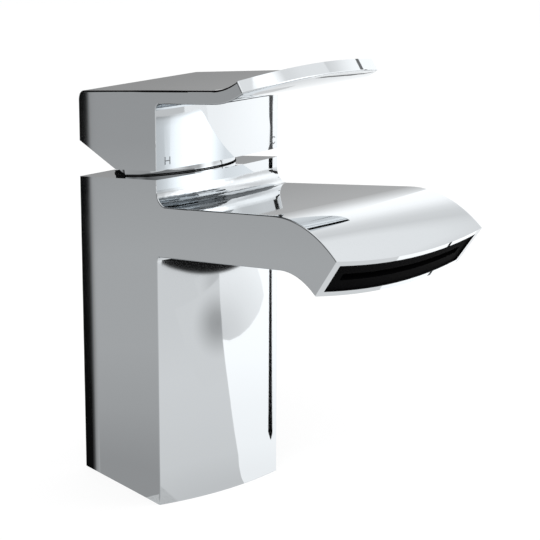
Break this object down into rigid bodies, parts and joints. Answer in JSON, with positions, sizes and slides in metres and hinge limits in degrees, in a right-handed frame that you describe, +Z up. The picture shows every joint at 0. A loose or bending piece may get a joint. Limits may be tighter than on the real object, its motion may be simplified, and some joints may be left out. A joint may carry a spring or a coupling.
{
  "type": "waterfall tub filler",
  "caption": "Deck-mounted single-lever waterfall filler: flat-sided column, broad spout bent down to a letter-box mouth, lift-and-swing lever on a ceramic cartridge.",
  "frame": {"origin": "on the deck under the column, on the object's middle plane, midway between the rear face and the front corners", "axes": "+Z up, -Y towards the spout's mouth, +X to the right of somebody who faces the tap"},
  "size_m": [0.0584, 0.141, 0.1543],
  "materials": {
    "polished_chrome": "mirror-polished chrome plate",
    "raw_brass": "machined",
    "copper_tube": "drawn copper",
    "black_plastic": "moulded, matt",
    "cartridge_plastic": "moulded",
    "guide_plastic": "moulded",
    "red_plastic": "moulded",
    "alumina_ceramic": "lapped ceramic",
    "black_rubber": "moulded",
    "stainless_steel": "turned",
    "mark_paint": "filled engraving"
  },
  "bodies": {
    "tap_body": {"body_casting": "polished_chrome", "inlet_block": "raw_brass", "base_seal": "black_rubber", "hot_feed_tube": "copper_tube", "cold_feed_tube": "copper_tube", "spout_flow_former": "black_plastic", "former_gasket": "black_rubber", "cartridge_base": "cartridge_plastic", "inlet_seals": "black_rubber", "fixed_disc": "alumina_ceramic", "cartridge_housing": "cartridge_plastic", "housing_o_ring": "black_rubber", "retaining_nut": "raw_brass", "neck_ring": "polished_chrome", "neck_ring_o_ring": "black_rubber", "hot_limit_ring": "red_plastic"},
    "rotor": {"rotor": "guide_plastic", "rotor_o_ring": "black_rubber", "pivot_pin": "stainless_steel"},
    "valve_slide": {"moving_disc": "alumina_ceramic", "disc_carrier": "guide_plastic"},
    "lever": {"lever_handle": "polished_chrome", "spindle": "raw_brass", "grub_screw": "stainless_steel", "screw_plug": "polished_chrome", "hot_mark": "mark_paint", "cold_mark": "mark_paint"}
  },
  "joints": [
    {"name": "lever_swing", "type": "hinge", "parent": "tap_body", "child": "rotor", "pos_m": [0, 0.001, 0.10766], "axis": [0, 0.1754, 0.9845], "range_deg": [-45, 45]},
    {"name": "lever_lift", "type": "hinge", "parent": "rotor", "child": "lever", "pos_m": [0, 0.0017, 0.1116], "axis": [-1, 0, 0], "range_deg": [0, 25]},
    {"name": "disc_slide", "type": "slide", "parent": "rotor", "child": "valve_slide", "axis": [0, -0.9845, 0.1754], "range_m": [0, 0.00321]}
  ],
  "couplings": [
    {"joint": "disc_slide", "follows": "lever_lift", "m_per_rad": 0.007361}
  ]
}
